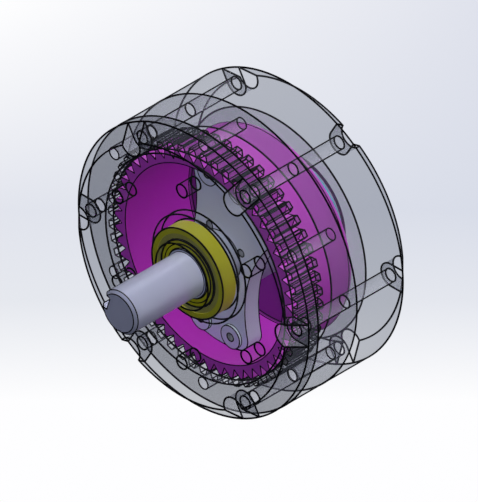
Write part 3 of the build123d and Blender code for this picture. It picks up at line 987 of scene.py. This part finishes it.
# Painted shade on the walls of the dowel and pin holes.
paint_shade_on_faces(plate, hole_painted_shade_finish, in_holes(dowel_r, *dowel_centres))
paint_shade_on_faces(pins, hole_painted_shade_finish, in_holes(pin_bore_r, *pin_centres))
dress([roller_finish], *rollers)
dress([olive_finish], olive_outer, olive_inner)
dress([olive_seal_finish], olive_seals)
dress([teal_finish], teal_outer, teal_inner, teal_seals)
dress([hub_finish], hub)
dress_nodes(plate_finish, "generator_dowels")
dress_nodes(clip_finish, "shaft_circlip")
dress_nodes(hub_finish, "clamp_ring")
dress_nodes(screw_finish, "clamp_screws")
dress_nodes(brass_finish, "front_bearing_cage", "rear_bearing_cage", "pilot_bearing_cage")
dress_nodes(
    ball_finish, "front_bearing_balls", "rear_bearing_balls", "pilot_bearing_balls",
    "pilot_bearing_inner_ring", "pilot_bearing_outer_ring",
)
print("dressed:", len(bpy.data.materials), "materials")

# %% [markdown]
# Dark edges
#
# The reference shows every sharp edge of the gear as a fine dark line, bold on the clear housing and thinner
# on the pieces inside. Here the lines are real: a second tree finds the edges where two faces meet at an
# angle, turns them into curves and gives the curves a small round section. The lines of all pieces on one
# body become one mesh.

# %% Edge line tree
bold, medium, fine, faint = 0.75 * MM, 0.58 * MM, 0.48 * MM, 0.3 * MM
bead_sides = 6
edge_angle = radians(25)


def edge_line_tree():
    """Tree that turns its input into beads along its sharp edges."""
    tree, given, result = new_tree("edge_lines", {
        "Thickness": "NodeSocketFloat", "Angle": "NodeSocketFloat", "Finish": "NodeSocketMaterial",
    })
    merged = add_node(
        tree, "GeometryNodeMergeByDistance", Geometry=given["Geometry"], Distance=0.002 * MM
    )
    bend = tree.nodes.new("GeometryNodeInputMeshEdgeAngle").outputs["Unsigned Angle"]
    sharp = maths(tree, "GREATER_THAN", bend, given["Angle"])
    edges = add_node(tree, "GeometryNodeMeshToCurve", Mesh=merged.outputs[0], Selection=sharp)
    half_thickness = maths(tree, "MULTIPLY", given["Thickness"], 0.5)
    section = add_node(
        tree, "GeometryNodeCurvePrimitiveCircle", Resolution=bead_sides, Radius=half_thickness
    )
    tubes = add_node(
        tree, "GeometryNodeCurveToMesh", Curve=edges.outputs[0], Profile_Curve=section.outputs[0]
    )
    real = add_node(tree, "GeometryNodeRealizeInstances", Geometry=tubes.outputs[0])
    dressed = add_node(tree, "GeometryNodeSetMaterial", Geometry=real.outputs[0], Material=given["Finish"])
    tree.links.new(dressed.outputs[0], result["Geometry"])
    return tree


edge_lines = edge_line_tree()


def beads(source, thickness):
    """A new object with edge lines of this thickness on the sharp edges of the source."""
    copy = link(f"{source.name}_lines", source.data.copy())
    return apply_tree(copy, edge_lines, Thickness=thickness, Angle=edge_angle, Finish=line_finish)


def lines_on(body, thickness, *sources):
    """Edge lines of this thickness on the sources, which all ride on the body."""
    lines = joined(*[beads(source, thickness) for source in sources])
    lines.name = f"{body}_edge_lines"
    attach(lines, body)
    print(lines.name, "faces:", len(lines.data.polygons))
    return lines


def add_lines(lines, *others):
    """Joins more lines to these, all with the same lacquer."""
    joined(lines, *others)
    lines.data.materials.clear()
    lines.data.materials.append(line_finish)


# %% [markdown]
# A round hole or rim has no sharp edge along its side, yet the reference also draws its two outermost lines.
# Those become thin straight rods along the wall, on both sides of each hole and of the housing itself, at the
# angle where the reference view just grazes the wall.

# %% Side lines
side_turn = 135.0


def bead_section(thickness):
    return round_outline(thickness / 2, bead_sides)


def side_rods(walls, thickness):
    """Rods on both sides of round walls, from (centre radius, centre angle, wall radius, start, end) rows."""
    rods = []
    for centre_r, centre_angle, wall_r, start, end in walls:
        x, z = polar(centre_r, centre_angle)
        for turn in (side_turn, side_turn + 180):
            dx, dz = polar(wall_r, turn)
            section = [(x + dx + u, z + dz + w) for u, w in bead_section(thickness)]
            rods.append(prisms("rod", [section], start, end))
    return joined(*rods)


def ring_rod(radius, y, thickness):
    """Thin ring about the gear axis, such as the circle where a wall runs into a rounded corner."""
    return turned("ring_rod", [(radius + u, y + w) for u, w in bead_section(thickness)])


def thin_out(lines, radius):
    """Takes away the lines at this radius, where a bold one would hide a narrow piece behind it."""
    bm = bmesh.new()
    bm.from_mesh(lines.data)
    close = [v for v in bm.verts if abs(Vector((v.co.x, 0, v.co.z)).length - radius) < bold]
    bmesh.ops.delete(bm, geom=close, context="VERTS")
    bm.to_mesh(lines.data)
    bm.free()


# %% Lines on each body
walls = [(0, 0, housing_r, 0, back_seat)]
for i in range(bolt_count):
    on_seat, between = 360 / bolt_count * i, 360 / bolt_count * (i + 0.5)
    walls.append((bolt_circle_r, on_seat, bolt_hole_r, 0, back_seat))
    walls.append((bolt_circle_r, between, ring_hole_r, cover_joint, ring_joint))
    walls.append((motor_circle_r, between, motor_hole_r, cover_front, cover_inside))
housing_lines = lines_on("housing", bold, cover, rear)
thin_out(housing_lines, rear_bearing_r)
pocket_line = ring_rod(rear_bearing_r, cavity_floor, faint)
add_lines(housing_lines, beads(spline, medium), side_rods(walls, medium), pocket_line)
cup_lines = lines_on("output", fine, cup, hub)
rounded_ends = (corner[0], corner[-1], inside_corner[0], inside_corner[-1])
add_lines(cup_lines, *[ring_rod(radius, y, fine) for radius, y in rounded_ends])
lines_on("input", fine, shaft, plate, pins, olive_inner, frame["nodes"]["generator_dowels"])
for number, roller in enumerate(rollers, 1):
    lines_on(f"roller_{number}", fine, roller)

# %% [markdown]
# Floor and light
#
# The floor is pale, with a slow gradient from white in front to a cool grey behind. It gives off its own
# colour, so it stays even and takes no shadow, and it is kept from lighting the gear, which the lamps and the
# sky do alone. A very wide lamp stands high behind the gear, so that the faces towards the shaft's end stay
# dark, a small one beside it adds a little sheen, and a weak cool one from the front keeps the dark faces
# blue. The lamps cast no shadows, because many layers of clear film would turn them into blotches.

# %% Floor
floor_level = -housing_r - bold / 2
half_floor = 3.0
corners = [(half_floor * x, half_floor * y) for x, y in ((-1, -1), (1, -1), (1, 1), (-1, 1))]
floor_mesh = bpy.data.meshes.new("pale_floor")
floor_mesh.from_pydata([(x, y, floor_level) for x, y in corners], [], [(0, 1, 2, 3)])
floor = link("pale_floor", floor_mesh)
floor.visible_diffuse = floor.visible_glossy = False

floor_finish, tree, shader, coordinates = new_finish("pale_floor_paint", 0.8)


def floor_along(direction, low, high):
    """Socket from 0 to 1 as the floor's point moves from low to high metres along a direction."""
    reach = tree.nodes.new("ShaderNodeVectorMath")
    reach.operation = "DOT_PRODUCT"
    reach.inputs[1].default_value = direction
    tree.links.new(coordinates, reach.inputs[0])
    share = add_node(tree, "ShaderNodeMapRange", Value=reach.outputs["Value"], From_Min=low, From_Max=high)
    return share.outputs["Result"]


def floor_ramp(stops):
    """Colour ramp from (place, colour) stops, with places in metres from behind to the front."""
    far, near = stops[0][0], stops[-1][0]
    ramp = add_node(tree, "ShaderNodeValToRGB", Fac=floor_along((1, -1, 0), far, near))
    elements = ramp.color_ramp.elements
    for i, (place, colour) in enumerate(stops):
        at = (place - far) / (near - far)
        element = elements[i] if i < 2 else elements.new(at)
        element.position, element.color = at, (*colour, 1)
    return ramp.outputs["Color"]


white = (0.99, 0.99, 1.0)
left_colour = floor_ramp([
    (-0.36, white), (-0.174, (0.76, 0.78, 0.85)), (-0.093, (0.79, 0.81, 0.86)), (-0.003, white),
])
right_colour = floor_ramp([
    (-0.36, (0.74, 0.76, 0.84)), (-0.174, (0.69, 0.72, 0.81)), (-0.093, (0.78, 0.80, 0.86)), (-0.003, white),
])
both = tree.nodes.new("ShaderNodeMix")
both.data_type = "RGBA"
tree.links.new(floor_along((1, 1, 0), -0.10, 0.15), both.inputs["Factor"])
tree.links.new(left_colour, both.inputs["A"])
tree.links.new(right_colour, both.inputs["B"])
glow = tree.nodes.new("ShaderNodeEmission")
tree.links.new(both.outputs["Result"], glow.inputs["Color"])
tree.links.new(glow.outputs[0], tree.nodes["Material Output"].inputs["Surface"])
floor.data.materials.append(floor_finish)
print("floor at", round(floor_level / MM, 1), "mm")

# %% Light
def soft_sun(name, direction, strength, softness, colour=(1, 1, 1)):
    """Sun lamp without shadows that shines from this direction, with a disc this many degrees wide."""
    lamp = bpy.data.lights.new(name, "SUN")
    lamp.energy, lamp.angle, lamp.color = strength, radians(softness), colour
    lamp.use_shadow = False
    lamp.cycles.use_multiple_importance_sampling = False
    sun = bpy.data.objects.new(name, lamp)
    sun.rotation_euler = Vector(direction).normalized().to_track_quat("Z", "Y").to_euler()
    bpy.context.scene.collection.objects.link(sun)


soft_sun("wide_dome", (0.153, 0.47, 0.87), strength=1.9, softness=170)
soft_sun("small_key", (-0.3, 0.4, 0.87), strength=0.25, softness=12)
soft_sun("cool_fill", (0, -1, 0.2), strength=0.22, softness=60, colour=(0.5, 0.55, 0.95))

sky = bpy.data.worlds.new("soft_sky")
sky.use_nodes = True
background = sky.node_tree.nodes["Background"]
background.inputs["Color"].default_value = (0.9, 0.93, 1.0, 1)
background.inputs["Strength"].default_value = 0.06
scene = bpy.context.scene
scene.world = sky
scene.view_settings.view_transform = "Standard"
scene.cycles.transparent_max_bounces = 32
